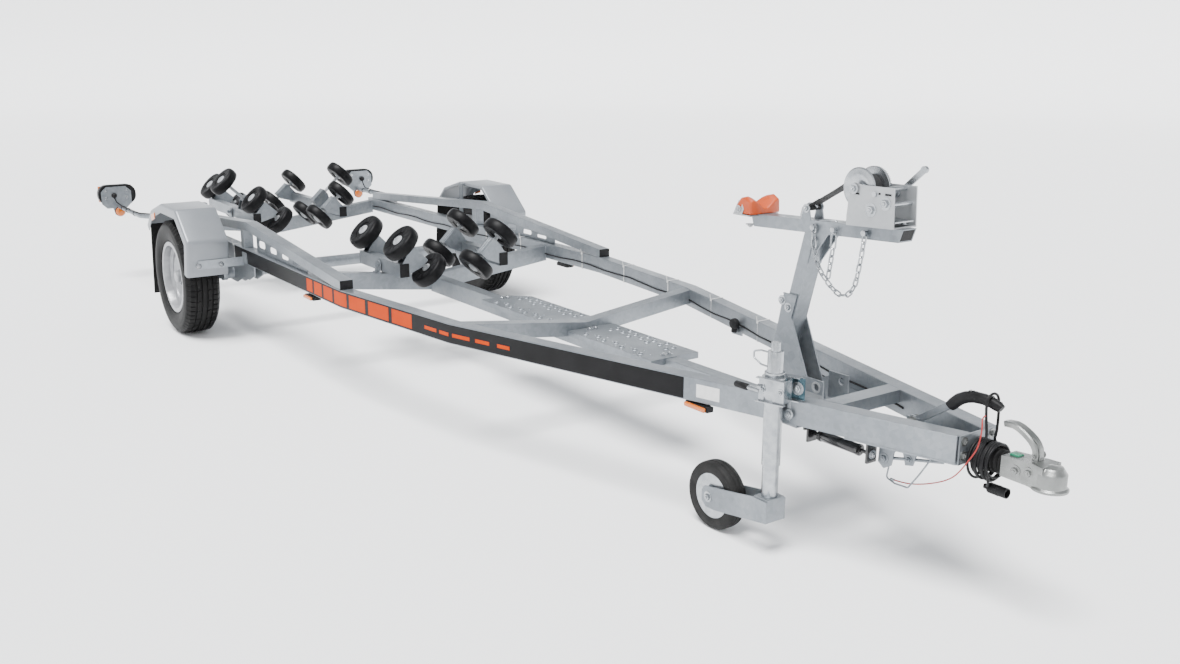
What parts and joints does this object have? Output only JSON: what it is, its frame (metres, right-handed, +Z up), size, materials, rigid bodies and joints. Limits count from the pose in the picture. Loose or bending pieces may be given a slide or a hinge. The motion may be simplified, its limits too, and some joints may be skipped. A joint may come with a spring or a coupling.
{
  "type": "boat trailer",
  "caption": "Single-axle galvanised boat trailer with tilting roller rockers, winch post, mudguards, tail lamps on arms, overrun coupling and jockey wheel.",
  "frame": {"origin": "middle of the trailer's length and width, on the ground", "axes": "+X forwards to the coupling, +Y to the left, +Z up"},
  "size_m": [6.46, 2.034, 1.2059],
  "materials": {
    "galvanised": "hot-dip galvanised, satin with spangle",
    "fender_grey": "satin grey coated sheet",
    "wheel_silver": "silver paint, satin",
    "road_tyre": "black rubber",
    "jockey_rubber": "black solid rubber",
    "zinc": "bright zinc plate",
    "black_plastic": "black moulded",
    "rubber": "black rubber",
    "lens_red": "clear coloured lens",
    "lens_amber": "amber lens",
    "orange_stop": "orange polyurethane",
    "damper_black": "black gloss paint",
    "roller_rubber": "black rubber roller",
    "webbing": "black woven webbing",
    "cable_black": "black cable sheath",
    "cable_red": "red coated wire cable"
  },
  "bodies": {
    "frame": {"rail_left": "galvanised", "rail_right": "galvanised", "upper_beams": "galvanised", "end_plugs": "black_plastic", "cross_beams": "galvanised", "keel_beam": "galvanised", "walk_plates": "galvanised", "nose_plates": "galvanised", "axle_beam": "galvanised", "mudguards": "fender_grey", "mud_flaps": "rubber", "fender_brackets": "galvanised", "lamp_arms": "galvanised", "lamp_housings": "black_plastic", "lamp_lenses": "lens_red", "side_markers": "lens_amber", "rocker_pivots": "galvanised", "winch_post": "galvanised", "winch_frame": "galvanised", "bow_snubber": "orange_stop", "overrun_housing": "galvanised", "bellows": "rubber", "coupling_head": "galvanised", "coupling_handle": "galvanised", "handbrake_lever": "galvanised", "handbrake_grip": "black_plastic", "overrun_damper": "damper_black", "jockey_clamp": "galvanised", "jockey_tube": "zinc", "winch_strap": "webbing", "safety_chain": "zinc", "lead_coil": "cable_black", "lead_run": "cable_black", "lead_plug": "black_plastic", "breakaway_cable": "cable_red"},
    "road_wheel_left": {"tyre_left": "road_tyre", "rim_left": "wheel_silver"},
    "road_wheel_right": {"tyre_right": "road_tyre", "rim_right": "wheel_silver"},
    "winch_drum": {"winch_drum": "zinc"},
    "winch_crank": {"winch_crank": "zinc"},
    "jockey_leg": {"jockey_leg": "zinc"},
    "jockey_fork": {"jockey_fork": "galvanised"},
    "jockey_wheel": {"jockey_tyre": "jockey_rubber", "jockey_rim": "zinc"},
    "rocker_front_left": {"rocker_front_left": "galvanised"},
    "rollers_front_rear_left": {"rollers_front_rear_left": "roller_rubber"},
    "rollers_front_front_left": {"rollers_front_front_left": "roller_rubber"},
    "rocker_front_right": {"rocker_front_right": "galvanised"},
    "rollers_front_rear_right": {"rollers_front_rear_right": "roller_rubber"},
    "rollers_front_front_right": {"rollers_front_front_right": "roller_rubber"},
    "rocker_rear_left": {"rocker_rear_left": "galvanised"},
    "rollers_rear_rear_left": {"rollers_rear_rear_left": "roller_rubber"},
    "rollers_rear_middle_left": {"rollers_rear_middle_left": "roller_rubber"},
    "rollers_rear_front_left": {"rollers_rear_front_left": "roller_rubber"},
    "rocker_rear_right": {"rocker_rear_right": "galvanised"},
    "rollers_rear_rear_right": {"rollers_rear_rear_right": "roller_rubber"},
    "rollers_rear_middle_right": {"rollers_rear_middle_right": "roller_rubber"},
    "rollers_rear_front_right": {"rollers_rear_front_right": "roller_rubber"}
  },
  "joints": [
    {"name": "road_wheel_left_spin", "type": "hinge", "parent": "frame", "child": "road_wheel_left", "pos_m": [-1.44, 0.918, 0.31], "axis": [0, 1, 0], "continuous": true},
    {"name": "road_wheel_right_spin", "type": "hinge", "parent": "frame", "child": "road_wheel_right", "pos_m": [-1.44, -0.918, 0.31], "axis": [0, 1, 0], "continuous": true},
    {"name": "rocker_front_left_tilt", "type": "hinge", "parent": "frame", "child": "rocker_front_left", "pos_m": [-0.3005, 0.275, 0.489], "axis": [0, 1, 0], "range_deg": [-10, 10]},
    {"name": "rollers_front_rear_left_spin", "type": "hinge", "parent": "rocker_front_left", "child": "rollers_front_rear_left", "pos_m": [-0.496, 0.2035, 0.545], "axis": [0, 0.7071, 0.7071], "continuous": true},
    {"name": "rollers_front_front_left_spin", "type": "hinge", "parent": "rocker_front_left", "child": "rollers_front_front_left", "pos_m": [-0.105, 0.2035, 0.545], "axis": [0, 0.7071, 0.7071], "continuous": true},
    {"name": "rocker_front_right_tilt", "type": "hinge", "parent": "frame", "child": "rocker_front_right", "pos_m": [-0.3005, -0.275, 0.489], "axis": [0, 1, 0], "range_deg": [-10, 10]},
    {"name": "rollers_front_rear_right_spin", "type": "hinge", "parent": "rocker_front_right", "child": "rollers_front_rear_right", "pos_m": [-0.496, -0.2035, 0.545], "axis": [0, -0.7071, 0.7071], "continuous": true},
    {"name": "rollers_front_front_right_spin", "type": "hinge", "parent": "rocker_front_right", "child": "rollers_front_front_right", "pos_m": [-0.105, -0.2035, 0.545], "axis": [0, -0.7071, 0.7071], "continuous": true},
    {"name": "rocker_rear_left_tilt", "type": "hinge", "parent": "frame", "child": "rocker_rear_left", "pos_m": [-2.52, 0.283, 0.484], "axis": [0, 1, 0], "range_deg": [-10, 10]},
    {"name": "rollers_rear_rear_left_spin", "type": "hinge", "parent": "rocker_rear_left", "child": "rollers_rear_rear_left", "pos_m": [-2.96, 0.208, 0.53], "axis": [0, 0.7431, 0.6691], "continuous": true},
    {"name": "rollers_rear_middle_left_spin", "type": "hinge", "parent": "rocker_rear_left", "child": "rollers_rear_middle_left", "pos_m": [-2.376, 0.2635, 0.575], "axis": [0, 0.7254, 0.6884], "continuous": true},
    {"name": "rollers_rear_front_left_spin", "type": "hinge", "parent": "rocker_rear_left", "child": "rollers_rear_front_left", "pos_m": [-2.13, 0.208, 0.53], "axis": [0, 0.7431, 0.6691], "continuous": true},
    {"name": "rocker_rear_right_tilt", "type": "hinge", "parent": "frame", "child": "rocker_rear_right", "pos_m": [-2.52, -0.283, 0.484], "axis": [0, 1, 0], "range_deg": [-10, 10]},
    {"name": "rollers_rear_rear_right_spin", "type": "hinge", "parent": "rocker_rear_right", "child": "rollers_rear_rear_right", "pos_m": [-2.96, -0.208, 0.53], "axis": [0, -0.7431, 0.6691], "continuous": true},
    {"name": "rollers_rear_middle_right_spin", "type": "hinge", "parent": "rocker_rear_right", "child": "rollers_rear_middle_right", "pos_m": [-2.376, -0.2635, 0.575], "axis": [0, -0.7254, 0.6884], "continuous": true},
    {"name": "rollers_rear_front_right_spin", "type": "hinge", "parent": "rocker_rear_right", "child": "rollers_rear_front_right", "pos_m": [-2.13, -0.208, 0.53], "axis": [0, -0.7431, 0.6691], "continuous": true},
    {"name": "winch_drum_spin", "type": "hinge", "parent": "frame", "child": "winch_drum", "pos_m": [2.492, 0, 1.133], "axis": [0, 1, 0], "continuous": true},
    {"name": "winch_crank_spin", "type": "hinge", "parent": "frame", "child": "winch_crank", "pos_m": [2.569, 0, 1.124], "axis": [0, 1, 0], "continuous": true},
    {"name": "jockey_leg_slide", "type": "slide", "parent": "frame", "child": "jockey_leg", "axis": [0, 0, 1], "range_m": [0, 0.095]},
    {"name": "jockey_fork_swivel", "type": "hinge", "parent": "jockey_leg", "child": "jockey_fork", "pos_m": [2.42, -0.273, 0.19], "axis": [0, 0, 1], "continuous": true},
    {"name": "jockey_wheel_spin", "type": "hinge", "parent": "jockey_fork", "child": "jockey_wheel", "pos_m": [2.182, -0.273, 0.1145], "axis": [0, 1, 0], "continuous": true}
  ],
  "couplings": [
    {"joint": "winch_crank_spin", "follows": "winch_drum_spin", "ratio": -3.75}
  ]
}
